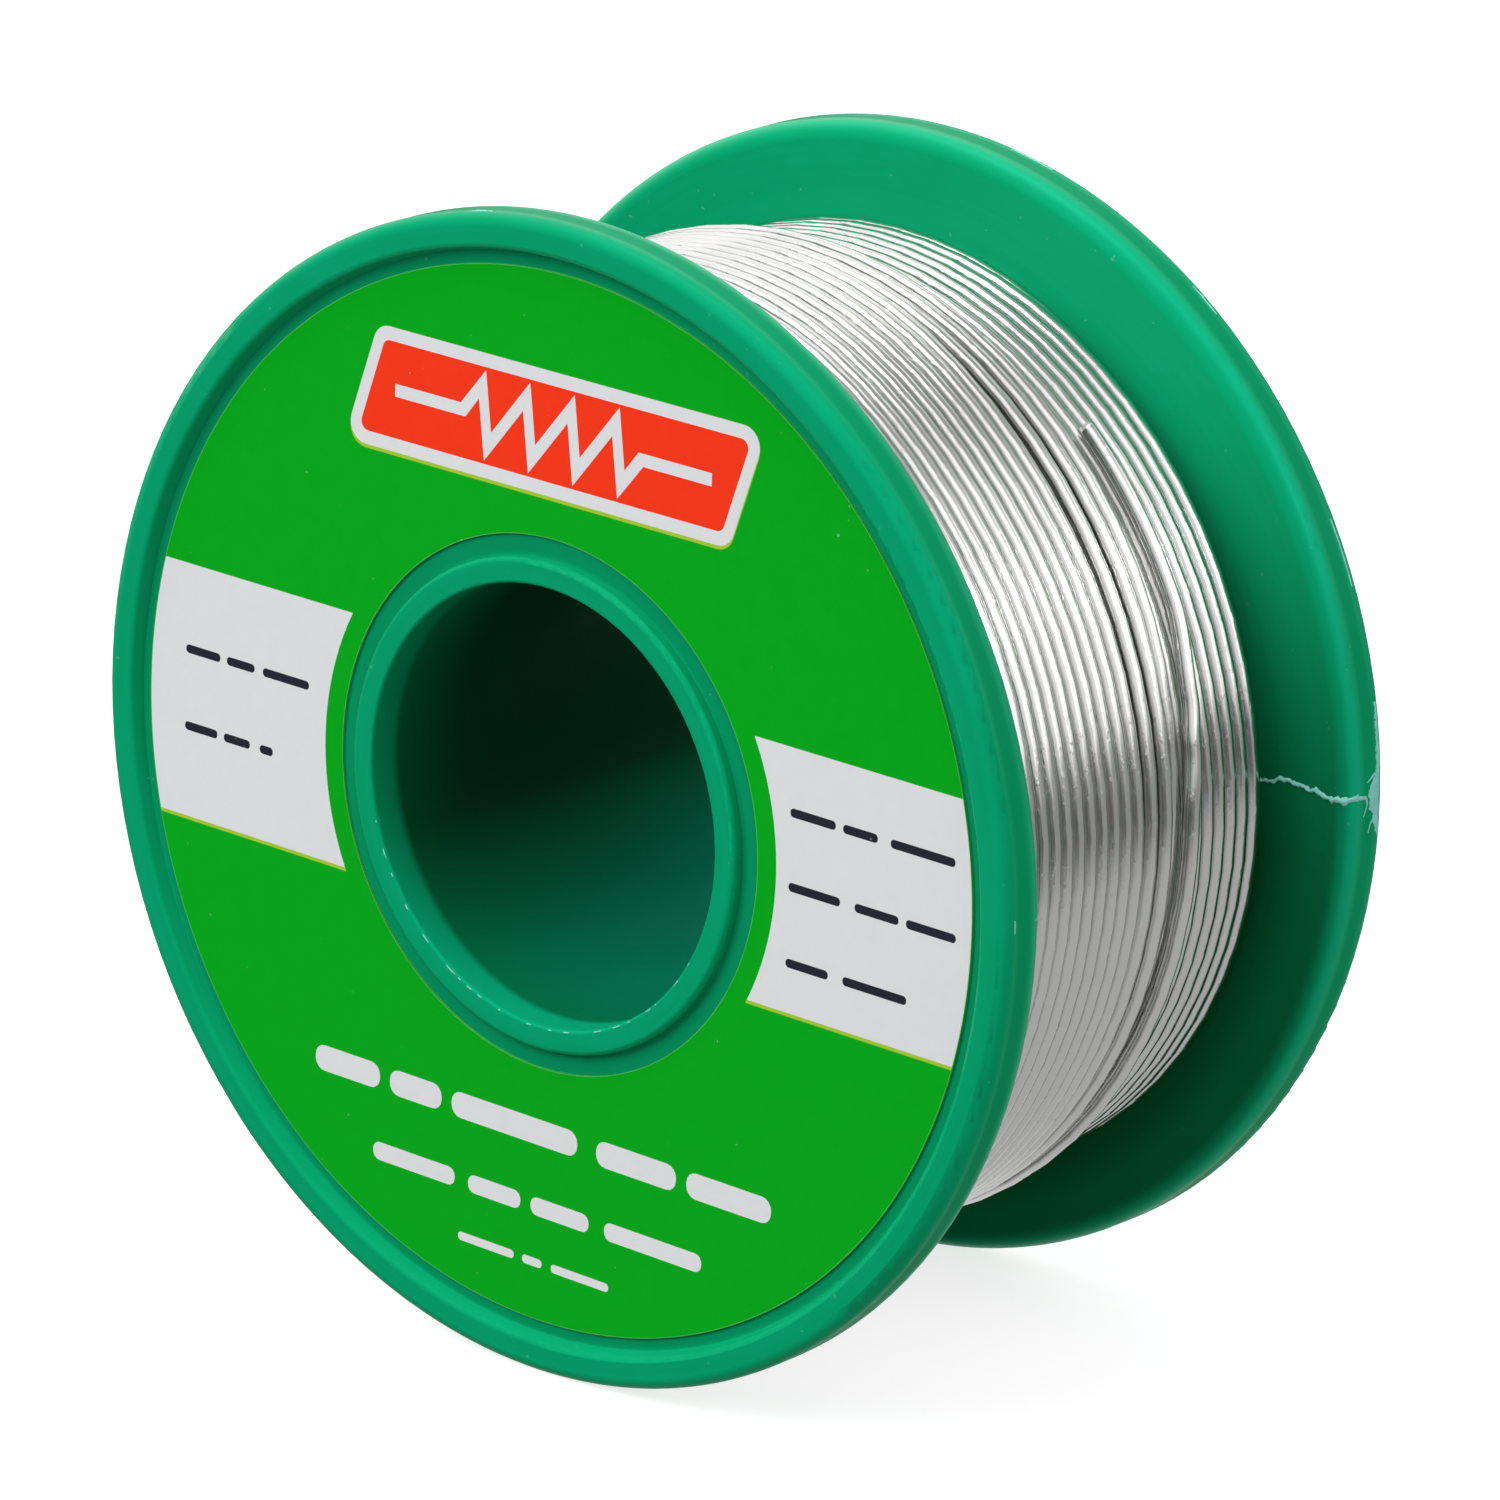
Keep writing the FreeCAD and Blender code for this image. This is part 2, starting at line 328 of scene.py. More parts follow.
GREEN = green_plastic()
TORN = torn_plastic()
TIN = tin()
ROSIN = rosin()
INKS = {
    "field": print_on_paper("print_green", (0.0022, 0.385, 0.0105), (0.0028, 0.415, 0.0135),
                            (0.05, 1.0, 0.15), 0.25),
    "white": print_on_paper("print_white", (0.74, 0.755, 0.775), (0.79, 0.80, 0.815)),
    "fringe": print_on_paper("print_lime", (0.36, 0.56, 0.03), (0.42, 0.62, 0.05)),
    "red": print_on_paper("print_red", (0.95, 0.040, 0.010), (1.0, 0.048, 0.014), (1.0, 0.2, 0.1)),
    "dark": print_on_paper("print_dark", (0.014, 0.016, 0.028), (0.022, 0.024, 0.036)),
    "edge": print_on_paper("paper_edge", (0.03, 0.44, 0.05), (0.10, 0.52, 0.13)),
}


# ---------------------------------------------------------------- camera

CAMERA_TURN = (40.567, 17.012, 0.417)        # azimuth, elevation and roll, in degrees
CAMERA_DISTANCE = 14.93118 * RIM
AIM_RIGHT, AIM_UP = 0.35080 * RIM, 0.09716 * RIM
LENS, SENSOR = 216.408, 36.0                 # in mm


def add_camera():
    """The camera, aimed beside the front face's middle."""
    azimuth, elevation, roll = (math.radians(a) for a in CAMERA_TURN)
    back = Vector((math.sin(azimuth) * math.cos(elevation),
                   -math.cos(azimuth) * math.cos(elevation),
                   math.sin(elevation)))
    level = Vector((0, 0, 1)).cross(back).normalized()
    upright = back.cross(level)
    right = level * math.cos(roll) + upright * math.sin(roll)
    up = upright * math.cos(roll) - level * math.sin(roll)
    aim = Vector((0, FRONT, 0)) + right * AIM_RIGHT + up * AIM_UP
    data = bpy.data.cameras.new("camera")
    data.lens, data.sensor_width = LENS, SENSOR
    data.clip_start, data.clip_end = 0.01, 20.0
    camera = bpy.data.objects.new("camera", data)
    bpy.context.scene.collection.objects.link(camera)
    turn = Matrix((right, up, back)).transposed().to_4x4()
    camera.matrix_world = Matrix.Translation(aim + back * CAMERA_DISTANCE) @ turn
    bpy.context.scene.camera = camera


add_camera()


# ---------------------------------------------------------------- the wire

POINTS_PER_TURN = 16
START = 62.0              # where each layer begins, and where turns going rearward step over
BACK_STEP_AT = 345.0      # where turns coming back step over
STEP_WIDTH = 34.0         # over how many degrees a turn steps over
BEND = 350.0              # where the free end begins
CLIMB_WIDTH = 40          # over how many degrees the wire climbs to its next layer
SWAY = 0.018 * MM         # how far a turn wanders from its place
SWAY_SHIFT = 0.35         # how much the wander shifts from turn to turn, in radians
OVERRUN = 2.9             # the route runs on by this so that the drawn curve ends at the bend
WIRE_ROUNDNESS = 4        # bevel steps of the wire's section
WIRE_FINENESS = 4         # drawn steps between control points
LAYER_TURNS = [26, 25, 26, 25, 17]
# How the last turns of layer 5 run: turn, degrees, place in pitches, lift in mm.
LAST_TURNS = [
    (14, 200, 14.0, 0.0), (14, 330, 14.05, 0.0), (14, 370, 14.20, 0.0), (14, 407, 14.50, 0.0),
    (15, 90, 15.0, 0.0), (15, 200, 15.2, 0.0), (15, 320, 15.6, 0.0), (15, 358, 15.4, 0.0),
    (15, 390, 15.62, 0.0), (15, 410, 15.75, 0.0),
    (16, 90, 16.0, 0.0), (16, 200, 16.15, 0.0), (16, 290, 16.4, -0.35), (16, 345, 16.6, -0.62),
    (16, 360, 16.62, -0.50), (16, 374, 16.66, -0.26), (16, 390, 16.72, -0.04), (16, 410, 16.8, 0.0),
    (17, 90, 17.0, 0.02), (17, 160, 17.1, 0.10), (17, 260, 17.35, 0.17), (17, 350, 17.46, 0.17),
]


def stairs(turns):
    """Rises by one round each whole number, and is level between."""
    nearest = round(turns)
    return nearest - 0.5 + smooth((turns - nearest) / (STEP_WIDTH / 360) + 0.5)


def keyed(keys, at):
    """Smooth values between keys, each a place and then its values."""
    if at <= keys[0][0]:
        return keys[0][1:]
    for a, b in zip(keys, keys[1:]):
        if at <= b[0]:
            t = smooth((at - a[0]) / (b[0] - a[0]))
            return tuple(mix(p, q, t) for p, q in zip(a[1:], b[1:]))
    return keys[-1][1:]


def place_in_layer(layer, turned):
    """The place across the winding, in pitches, after this many degrees of a layer.

    The first, third and fifth layers run from the front to the rear, and the second
    and fourth back again. The fourth starts half a place further back than the second."""
    if layer % 2 == 0:
        return stairs(turned / 360) - 0.5 if turned > 180 else 0.0
    hops = (turned - (BACK_STEP_AT - START)) / 360 + 1
    done = stairs(hops) - 0.5 if turned > 90 else 0.0
    first = TURNS_ACROSS - 1 if layer == 3 else TURNS_ACROSS - 1.5
    return first - done


LAST_KEYS = [(turn * 360 + degrees, place, lift) for turn, degrees, place, lift in LAST_TURNS]


def station(turned, phases):
    """The wire's centre after this many degrees from its start: angle, radius and y."""
    layer = 0
    while layer < len(LAYER_TURNS) - 1 and turned >= LAYER_TURNS[layer] * 360:
        turned -= LAYER_TURNS[layer] * 360
        layer += 1
    degrees = START + turned
    place = place_in_layer(layer, turned)
    radius = BARREL + LAYER_STEP * (layer + 0.5)
    if layer == len(LAYER_TURNS) - 1 and degrees > LAST_KEYS[0][0]:
        place, lift = keyed(LAST_KEYS, degrees)
        radius += lift * MM
    climb = smooth(1 - turned / CLIMB_WIDTH) if layer else 0.0
    if climb:
        before = place_in_layer(layer - 1, LAYER_TURNS[layer - 1] * 360)
        place = mix(place, before, climb * 0.5)
        radius -= LAYER_STEP * 0.5 * climb
    sway = SWAY * math.sin(math.radians(degrees) + phases[layer] + place * SWAY_SHIFT)
    return degrees, radius, WIND_FRONT + PITCH * (place + 0.5) + sway


def wire_route():
    """Control points of the wire's centre line, from the barrel to the bend.

    The curve passes inside its control points, so they stand further out, except
    the two ends, which lie half a step from their neighbours."""
    chance = random.Random(4)
    phases = [chance.uniform(0, math.tau) for _ in LAYER_TURNS]
    total = sum(LAYER_TURNS) * 360 + BEND + OVERRUN - START
    count = round(total / 360 * POINTS_PER_TURN)
    step = total / count
    outward = (3 + math.cos(math.radians(step))) / 4
    route = [polar(*station(0, phases))]
    for i in range(count):
        degrees, radius, y = station((i + 0.5) * step, phases)
        route.append(polar(degrees, radius / outward, y))
    route.append(polar(*station(total, phases)))
    return route


def nurbs(name, points, diameter):
    """A round wire along one smooth spline with these control points."""
    curve = bpy.data.curves.new(name, "CURVE")
    curve.dimensions = "3D"
    spline = curve.splines.new("NURBS")
    spline.points.add(len(points) - 1)
    for point, place in zip(spline.points, points):
        point.co = (*place, 1)
    spline.order_u = 3
    spline.use_endpoint_u = True
    spline.use_smooth = True
    spline.resolution_u = WIRE_FINENESS
    curve.bevel_depth = diameter / 2
    curve.bevel_resolution = WIRE_ROUNDNESS
    curve.use_fill_caps = True
    piece = bpy.data.objects.new(name, curve)
    bpy.context.scene.collection.objects.link(piece)
    return piece


def add_wire():
    """The winding: one wire from the barrel to the bend."""
    route = wire_route()
    wire = nurbs("solder_wire", route, WIRE)
    wire.data.materials.append(TIN)
    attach(wire, "spool")
    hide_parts(*[f"winding_layer_{i + 1}" for i in range(len(LAYER_TURNS))], "last_turn")


add_wire()


# ---------------------------------------------------------------- the label

# The label's print, in millimetres across and up from the bore's middle, before the
# whole print is turned. All its lettering is left out: plain bars keep the lines' places.
PRINT_TURN = -2.2         # in degrees
WINDOW_LOW, WINDOW_HIGH, WINDOW_INNER = -5.78, 6.02, 13.05
FRINGE = 0.16             # the lime line under each white shape
BANNER_LEFT, BANNER_RIGHT = -11.4, 10.7
BANNER_LOW, BANNER_HIGH, BANNER_SLANT = 13.85, 19.4, 0.33
BANNER_LINE = 0.62        # the banner's white outline
BANNER_CORNER = 0.9       # its corners' radius
ZIGZAG_STROKE, ZIGZAG_HEIGHT, ZIGZAG_PEAKS = 0.58, 1.35, 4
ZIGZAG_INSET = 2.0        # from the banner's ends to the leads' ends
ZIGZAG_SHARES = (0.27, 0.73)   # where along the banner the peaks start and end
PAPER_EDGE = 0.04         # the cut edge round the sheet
OUTER_SIDES, INNER_SIDES = 256, 160
# Each bar: ink, left, right, low, high.
BARS = [
    ("white", -13.2, -9.3, -15.6, -14.4), ("white", -8.7, -5.6, -15.6, -14.4),
    ("white", -5.0, 2.4, -15.6, -14.4), ("white", 3.5, 8.1, -15.6, -14.4),
    ("white", 8.7, 13.5, -15.6, -14.4),
    ("white", -9.6, -4.7, -18.9, -18.05), ("white", -3.9, -0.8, -18.9, -18.05),
    ("white", -0.2, 3.2, -18.9, -18.05), ("white", 4.1, 9.7, -18.9, -18.05),
    ("white", -4.4, -1.1, -21.3, -20.9), ("white", -0.6, 0.55, -21.3, -20.9),
    ("white", 1.1, 4.45, -21.3, -20.9),
    ("dark", -21.6, -19.5, 1.85, 2.25), ("dark", -19.1, -17.4, 1.85, 2.25),
    ("dark", -16.9, -14.1, 1.85, 2.25),
    ("dark", -21.6, -19.6, -1.75, -1.35), ("dark", -19.2, -17.6, -1.75, -1.35),
    ("dark", -17.0, -16.2, -1.75, -1.35),
    ("dark", 13.7, 16.2, 2.95, 3.35), ("dark", 16.6, 18.5, 2.95, 3.35),
    ("dark", 19.2, 22.7, 2.95, 3.35),
    ("dark", 13.75, 16.6, -0.35, 0.05), ("dark", 17.4, 19.8, -0.35, 0.05),
    ("dark", 20.2, 22.9, -0.35, 0.05),
    ("dark", 13.75, 16.1, -3.75, -3.35), ("dark", 16.9, 20.4, -3.75, -3.35),
]


def circle(radius, count):
    angles = [math.radians(360.0 * (i / count)) for i in range(count)]
    return [Vector((radius * math.cos(a), radius * math.sin(a))) for a in angles]


def rounded(corners, radius, steps=6):
    """A polygon with its corners rounded."""
    made = []
    for i, corner in enumerate(corners):
        before = (corners[i - 1] - corner).normalized()
        after = (corners[(i + 1) % len(corners)] - corner).normalized()
        half = before.angle(after) / 2
        reach = radius / math.tan(half)
        middle = corner + (before + after).normalized() * (radius / math.sin(half))
        first = corner + before * reach - middle
        last = corner + after * reach - middle
        for k in range(steps + 1):
            t = k / steps
            made.append(middle + first.slerp(last, t).normalized() * radius)
    return made


def stroke(points, width):
    """The outline of a line drawn with this width."""
    left, right = [], []
    for i, point in enumerate(points):
        back = (point - points[i - 1]).normalized() if i else None
        ahead = (points[i + 1] - point).normalized() if i + 1 < len(points) else None
        way = ((back or ahead) + (ahead or back)).normalized()
        side = Vector((-way.y, way.x))
        lean = max(0.42, side.dot(Vector((-(ahead or back).y, (ahead or back).x))))
        left.append(point + side * (width / 2 / lean))
        right.append(point - side * (width / 2 / lean))
    return left + right[::-1]


def slanted(x, y):
    """A place on the banner, which leans to the right."""
    return Vector((x + (y - (BANNER_LOW + BANNER_HIGH) / 2) * BANNER_SLANT, y))


def banner(inset, down=0.0):
    """The banner's outline, drawn in by inset and shifted down."""
    low, high = BANNER_LOW + inset, BANNER_HIGH - inset
    left, right = BANNER_LEFT + inset, BANNER_RIGHT - inset
    corners = [slanted(left, low), slanted(right, low), slanted(right, high), slanted(left, high)]
    return [p - Vector((0, down)) for p in rounded(corners, BANNER_CORNER - inset * 0.8)]


def zigzag():
    """The drawing of a resistor: a lead, some peaks and a lead."""
    middle = (BANNER_LOW + BANNER_HIGH) / 2
    start, end = (mix(BANNER_LEFT, BANNER_RIGHT, share) for share in ZIGZAG_SHARES)
    points = [slanted(BANNER_LEFT + ZIGZAG_INSET, middle), slanted(start, middle)]
    step = (end - start) / (2 * ZIGZAG_PEAKS)
    for i in range(2 * ZIGZAG_PEAKS):
        height = ZIGZAG_HEIGHT if i % 2 == 0 else -ZIGZAG_HEIGHT
        points.append(slanted(start + step * (i + 0.5), middle + height))
    points += [slanted(end, middle), slanted(BANNER_RIGHT - ZIGZAG_INSET, middle)]
    return stroke(points, ZIGZAG_STROKE)


def window(side, drop=0.0):
    """A white window from an arc beside the bore to past the label's edge."""
    low, high = WINDOW_LOW - drop, WINDOW_HIGH - drop
    inner = [Vector((math.sqrt(WINDOW_INNER ** 2 - w * w), w))
             for w in (mix(low, high, i / 20) for i in range(21))]
    outer = [Vector((LABEL_OUTER / MM + 1, w)) for w in (high, low)]
    return [Vector((side * p.x, p.y)) for p in inner + outer]


def bar(left, right, low, high):
    """A bar with rounded ends."""
    corners = [Vector(p) for p in ((left, low), (right, low), (right, high), (left, high))]
    return rounded(corners, (high - low) * 0.45, 4)


def holds(polygon, point):
    """Whether a point lies inside a polygon."""
    inside = False
    for a, b in zip(polygon, polygon[1:] + polygon[:1]):
        if (a.y > point.y) != (b.y > point.y):
            if point.x < a.x + (point.y - a.y) / (b.y - a.y) * (b.x - a.x):
                inside = not inside
    return inside


def label_print():
    """The print from the bottom up: each shape's ink and outline."""
    turn = Matrix.Rotation(math.radians(PRINT_TURN), 2)
    shapes = []
    for side in (-1, 1):
        shapes += [("fringe", window(side, FRINGE)), ("white", window(side))]
    shapes += [("fringe", banner(0, FRINGE)), ("white", banner(0)), ("red", banner(BANNER_LINE)),
               ("white", zigzag())]
    shapes += [(ink, bar(*sizes)) for ink, *sizes in BARS]
    return [(ink, [turn @ p for p in outline]) for ink, outline in shapes]


def add_label():
    """The printed sheet: one flat mesh cut along its print, with the paper's cut edges."""
    shapes = label_print()
    outer, inner = LABEL_OUTER / MM, LABEL_INNER / MM
    rings = [circle(outer, OUTER_SIDES), circle(outer - PAPER_EDGE, OUTER_SIDES),
             circle(inner + PAPER_EDGE, INNER_SIDES), circle(inner, INNER_SIDES)]
    points, edges = [], []
    for outline in rings + [outline for _, outline in shapes]:
        first = len(points)
        points += outline
        edges += [(first + i, first + (i + 1) % len(outline)) for i in range(len(outline))]
    flat, _, triangles, _, _, _ = delaunay_2d_cdt(points, edges, [], 0, 1e-5)
    inks = list(INKS)
    faces, slots = [], []
    for triangle in triangles:
        middle = sum((flat[i] for i in triangle), Vector((0, 0))) / 3
        if not inner * 0.9998 < middle.length < outer:
            continue
        ink = "field"
        for name, outline in shapes:
            if holds(outline, middle):
                ink = name
        if middle.length > outer - PAPER_EDGE or middle.length < inner + PAPER_EDGE * 0.98:
            ink = "edge"
        faces.append(tuple(triangle))
        slots.append(inks.index(ink))
    places = [Vector((p.x * MM, LABEL_FACE, p.y * MM)) for p in flat]
    for radius, count, facing in ((LABEL_OUTER, OUTER_SIDES, 1), (LABEL_INNER, INNER_SIDES, -1)):
        first = len(places)
        for i in range(count):
            places += [polar(360 * i / count, radius, y) for y in (LABEL_FACE, WEB)]
        for i in range(count):
            a, b = first + 2 * i, first + 2 * ((i + 1) % count)
            faces.append((a, b, b + 1, a + 1)[::facing])
            slots.append(inks.index("edge"))
    sheet = mesh_object("front_label_print", places, faces, "spool")
    sheet.data.shade_flat()
    for ink in inks:
        sheet.data.materials.append(INKS[ink])
    for polygon, slot in zip(sheet.data.polygons, slots):
        polygon.material_index = slot
        if polygon.normal.y > 0.5:
            polygon.flip()
    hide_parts("front_label")


add_label()


# ---------------------------------------------------------------- marks of moulding and wear

PARTING = 0.9             # where the mould's halves met, in degrees
FLASH_INNER = 21.15 * MM
INNER_ROUND = 0.85 * MM   # the rim's rounding on the winding side
OUTER_ROUND = 0.55 * MM
SUNK = 0.02 * MM          # how deep the foot of a flash ridge lies in the plastic
FRINGE_STEPS = 1440
WORN_HEIGHT = 0.05        # how much taller the fringe is where it is worn, in mm
# Worn places of the rims: the middle and the width, in degrees.
WORN_REAR = [(76, 2.5), (52, 1.8), (24, 3.2), (140, 2.2), (205, 1.6), (262, 2.4)]
WORN_FRONT = [(0.3, 0.6), (180, 1.0), (98, 1.2)]
# The inner side of the whitened patch at the rear parting line: degrees, y in mm.
SMEAR = [(-3.7, 12.47), (-3.0, 12.34), (-2.3, 12.16), (-1.5, 12.14), (-0.7, 11.84), (0.9, 11.78),
         (1.7, 11.98), (2.4, 12.20), (3.2, 12.34), (9.5, 12.42)]
# Curled flecks of flash on the rear rim: keys (share, degrees, y in mm), width in mm, seed.
CURLS = [
    ([(0, 0.7, 10.92), (0.35, 0.45, 11.6), (0.65, -0.2, 11.72), (1, -1.4, 11.45)], 0.22, 3),
    ([(0, 2.6, 12.25), (0.5, 2.2, 11.95), (1, 1.9, 11.66)], 0.16, 4),
    ([(0, -1.9, 12.25), (0.5, -2.3, 12.0), (1, -3.2, 11.86)], 0.20, 6),
]


def flange_face(side, radius):
    """The winding-side face of a flange at this radius, round to the rim."""
    face = WIND_REAR if side > 0 else WIND_FRONT
    past = max(0.0, min(INNER_ROUND, radius - (RIM - INNER_ROUND)))
    return face + side * (INNER_ROUND - math.sqrt(INNER_ROUND ** 2 - past ** 2))


def marked(name, points, faces, materials=(TORN,)):
    """A mark on the moulding as a piece of its own."""
    piece = mesh_object(name, points, faces, "spool")
    for material in materials:
        piece.data.materials.append(material)
    return piece


def strip_faces(count, across):
    """Quads over count rows of this many points."""
    return [(i * across + j, i * across + j + 1, (i + 1) * across + j + 1, (i + 1) * across + j)
            for i in range(count - 1) for j in range(across - 1)]


def add_flash(name, side, degrees, inner, width, height, seed):
    """A torn ridge of flash across a flange's winding-side face, from inner to the rim."""
    chance = random.Random(seed)
    rows, points = 46, []
    drift = 0.0
    for i in range(rows):
        t = i / (rows - 1)
        radius = mix(inner, RIM - 0.02 * MM, t)
        drift = drift * 0.75 + chance.uniform(-0.07, 0.07) * MM
        angle = math.radians(degrees) + (drift + 0.22 * MM * math.sin(t * 5.0)) / radius
        half = width * chance.uniform(0.25, 0.75) * (0.7 + 0.6 * t)
        top = height * chance.uniform(0.35, 1.0)
        y = flange_face(side, radius)
        for shift, lift in ((-half, -SUNK), (-half * 0.35, top * 0.8),
                            (half * chance.uniform(0.0, 0.4), top), (half, -SUNK)):
            turned = math.degrees(angle + shift / radius)
            points.append(polar(turned, radius, y - side * lift))
    marked(name, points, strip_faces(rows, 4))


def rim_radius(y):
    """The rear rim's outer radius at this distance along the axis, with its rounded corners."""
    past = max(0.0, WIND_REAR + INNER_ROUND - y)
    beyond = max(0.0, y - (REAR - OUTER_ROUND))
    fall = INNER_ROUND - math.sqrt(max(0.0, INNER_ROUND ** 2 - past ** 2))
    return RIM - fall - (OUTER_ROUND - math.sqrt(max(0.0, OUTER_ROUND ** 2 - beyond ** 2)))


def add_smear(name, seed):
    """A worked, whitened patch at the rear rim's outer corner, ragged on its inner side."""
    chance = random.Random(seed)
    rows, across = 90, 6
    points = []
    for i in range(rows):
        degrees = mix(SMEAR[0][0], SMEAR[-1][0], i / (rows - 1))
        inner, = keyed(SMEAR, degrees)
        inner = inner * MM + chance.uniform(-0.045, 0.045) * MM
        outer = REAR - OUTER_ROUND + 0.16 * MM
        for j in range(across):
            s = j / (across - 1)
            y = mix(inner, outer, s)
            proud = (0.008 + 0.022 * math.sin(math.pi * s) * chance.uniform(0.6, 1.0)) * MM
            proud = proud if 0 < j < across - 1 else -0.01 * MM
            points.append(polar(degrees, rim_radius(y) + proud, y))
    marked(name, points, strip_faces(rows, across))


def add_hook(name, keys, width, seed):
    """A curled fleck of flash lying on the rear rim: keys are (share, degrees, y in mm)."""
    chance = random.Random(seed)
    rows, points = 24, []
    line = [keyed(keys, i / (rows - 1)) for i in range(rows)]
    for i, (degrees, y) in enumerate(line):
        before, after = line[max(0, i - 1)], line[min(rows - 1, i + 1)]
        round_rim = math.radians(after[0] - before[0]) * RIM / MM
        along = Vector((round_rim, after[1] - before[1])).normalized()
        half = width * (1 - 0.85 * i / (rows - 1)) * chance.uniform(0.8, 1.1) / 2
        for shift, lift in ((-half, 0.0), (0.0, 0.035), (half, 0.0)):
            place = (y + along.x * shift) * MM
            turned = degrees - math.degrees(along.y * shift * MM / RIM)
            points.append(polar(turned, rim_radius(place) + lift * MM, place))
    marked(name, points, strip_faces(rows, 3))


def add_fringe(name, y, worn, fine, seed):
    """A thin ragged fin of flash round a rim, taller and paler where the rim is worn."""
    chance = random.Random(seed)
    points, pale = [], []
    previous = 0.0
    for i in range(FRINGE_STEPS):
        degrees = 360 * i / FRINGE_STEPS
        near = 0.0
        for middle, width in worn:
            away = abs((degrees - middle + 180) % 360 - 180)
            near = max(near, smooth(1.3 - away / width))
        pale.append(near > 0.15)
        previous = previous * 0.55 + 0.45 * chance.random() ** 2
        height = (fine * previous + WORN_HEIGHT * near * chance.uniform(0.2, 1.0)) * MM
        sway = chance.uniform(-0.02, 0.02) * MM
        for shift, radius in ((-0.05 * MM, RIM - 0.012 * MM), (sway, RIM + height),
                              (0.05 * MM, RIM - 0.012 * MM)):
            points.append(polar(degrees, radius, y + shift))
    faces = []
    for i in range(FRINGE_STEPS):
        row, following = i * 3, (i + 1) % FRINGE_STEPS * 3
        faces += [(row + j, row + j + 1, following + j + 1, following + j) for j in range(2)]
    piece = marked(name, points, faces, (GREEN, TORN))
    for polygon in piece.data.polygons:
        polygon.material_index = int(pale[polygon.vertices[0] // 3])


def add_burr(name, radius, y, start, end, seed):
    """Broken specks of burr along the bore's mouth."""
    chance = random.Random(seed)
    points, faces = [], []
    steps = 8
    degrees = start
    while degrees < end:
        length = chance.uniform(0.5, 3.5)
        first = len(points)
        for i in range(steps):
            t = i / (steps - 1)
            tall = 0.05 * MM * math.sin(math.pi * t) * chance.uniform(0.5, 1.0)
            for shift, lift in ((-0.03 * MM, 0.012 * MM), (0.0, -tall), (0.03 * MM, 0.012 * MM)):
                points.append(polar(degrees + length * t, radius + shift, y + lift))
        faces += [tuple(first + k for k in face) for face in strip_faces(steps, 3)]
        degrees += length + chance.uniform(0.5, 9.0)
    marked(name, points, faces)


def add_marks():
    """Flash on both rims, the worked patch with its curls, the fringes and the burrs."""
    rear_ridge = (FLASH_INNER, 0.24 * MM, 0.16 * MM)
    front_ridge = (RIM - 1.3 * MM, 0.07 * MM, 0.05 * MM)
    for side, word, ridge in ((1, "rear", rear_ridge), (-1, "front", front_ridge)):
        add_flash(f"parting_flash_{word}_right", side, PARTING, *ridge, 7 + side)
        add_flash(f"parting_flash_{word}_left", side, PARTING + 180, RIM - 2.2 * MM,
                  0.16 * MM, 0.07 * MM, 17 + side)
    add_smear("parting_smear_rear", 5)
    for number, (keys, width, seed) in enumerate(CURLS, 1):
        add_hook(f"flash_curl_{number}", keys, width, seed)
    add_fringe("rim_fringe_rear", REAR - OUTER_ROUND, WORN_REAR, 0.015, 21)
    add_fringe("rim_fringe_front", FRONT + OUTER_ROUND, WORN_FRONT, 0.012, 22)
    mouth = BORE + 0.09 * MM
    add_burr("bore_burr_front", mouth, FRONT + 0.10 * MM, 195, 330, 31)
    add_burr("bore_burr_rear", mouth, REAR - 0.10 * MM, 20, 150, 32)


add_marks()


# ---------------------------------------------------------------- the free end

TAIL_RADIUS = BARREL + LAYER_STEP * 4.5 + 0.17 * MM
TAIL_END = 406.6          # where the free end is cut, in degrees
TAIL_SIDES, BALL_RINGS = 24, 7
CORE_RADIUS = 0.13 * MM
CORE_SIDES = 14
# Where the free end lies: degrees, distance from the front rim's plane in mm.
TAIL_KEYS = [(BEND, 16.99), (360, 17.02), (369, 17.33), (374, 17.60), (385, 18.05), (407, 18.05)]
# The cut face's rings, from the rim inwards: mm past the end, radius in wire diameters.
CUT_RINGS = [(0.02, 0.47), (0.07, 0.455), (0.10, 0.43), (0.09, 0.36), (0.06, 0.25), (0.0, 0.165),
             (-0.12, 0.15)]


def tail_route(start, end, steps):
    """The free end's centre line between two angles."""
    route = []
    for i in range(steps + 1):
        degrees = mix(start, end, i / steps)
        back, = keyed(TAIL_KEYS, degrees)
        route.append(polar(degrees, TAIL_RADIUS, FRONT + back * MM))
    return route


def tube(route, radii, sides):
    """Rings round a route, each with its own radius, and the faces between them."""
    points = []
    for i, place in enumerate(route):
        way = (route[min(i + 1, len(route) - 1)] - route[max(i - 1, 0)]).normalized()
        out = (place - way * place.dot(way)).normalized()
        side = way.cross(out)
        for k in range(sides):
            angle = math.tau * k / sides
            points.append(place + (out * math.cos(angle) + side * math.sin(angle)) * radii[i])
    faces = [(i * sides + k, (i + 1) * sides + k, (i + 1) * sides + (k + 1) % sides,
              i * sides + (k + 1) % sides)
             for i in range(len(route) - 1) for k in range(sides)]
    return points, faces


